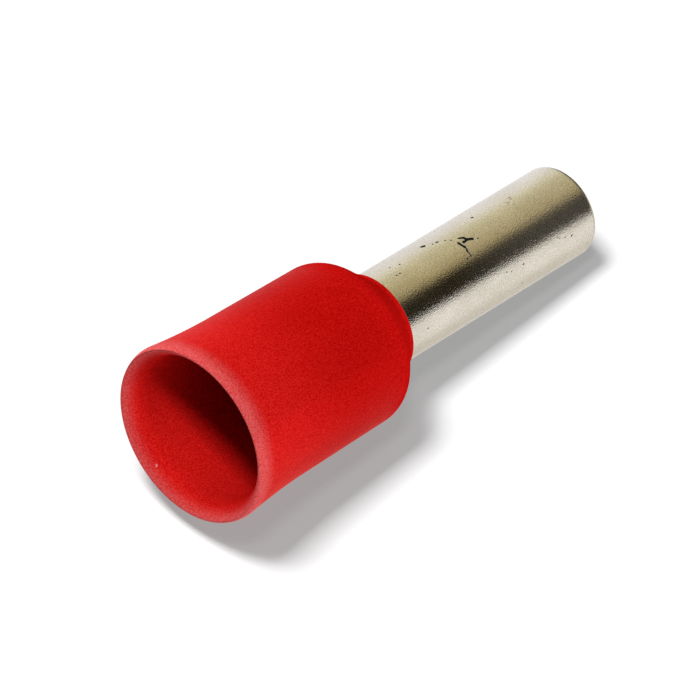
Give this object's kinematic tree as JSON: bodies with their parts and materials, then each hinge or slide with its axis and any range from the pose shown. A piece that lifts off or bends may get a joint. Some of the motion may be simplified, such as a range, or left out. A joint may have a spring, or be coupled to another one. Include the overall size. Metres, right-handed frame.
{
  "type": "insulated wire end ferrule",
  "caption": "Tin-plated tube with a flared plastic collar that sheathes a stripped wire end as a smooth pin for a screw or spring clamp.",
  "frame": {"origin": "centre of the mouth's rim, on the axis of symmetry", "axes": "+Z along the axis of symmetry, from the mouth towards the tip of the pin"},
  "size_m": [0.0041, 0.004, 0.012],
  "materials": {
    "tin_plate": "satin tin plate on copper, fine drawn grain, a few pits",
    "red_plastic": "satin moulded plastic, fine grain"
  },
  "bodies": {
    "root": {"conductor_sleeve": "tin_plate", "insulating_collar": "red_plastic"}
  },
  "joints": []
}
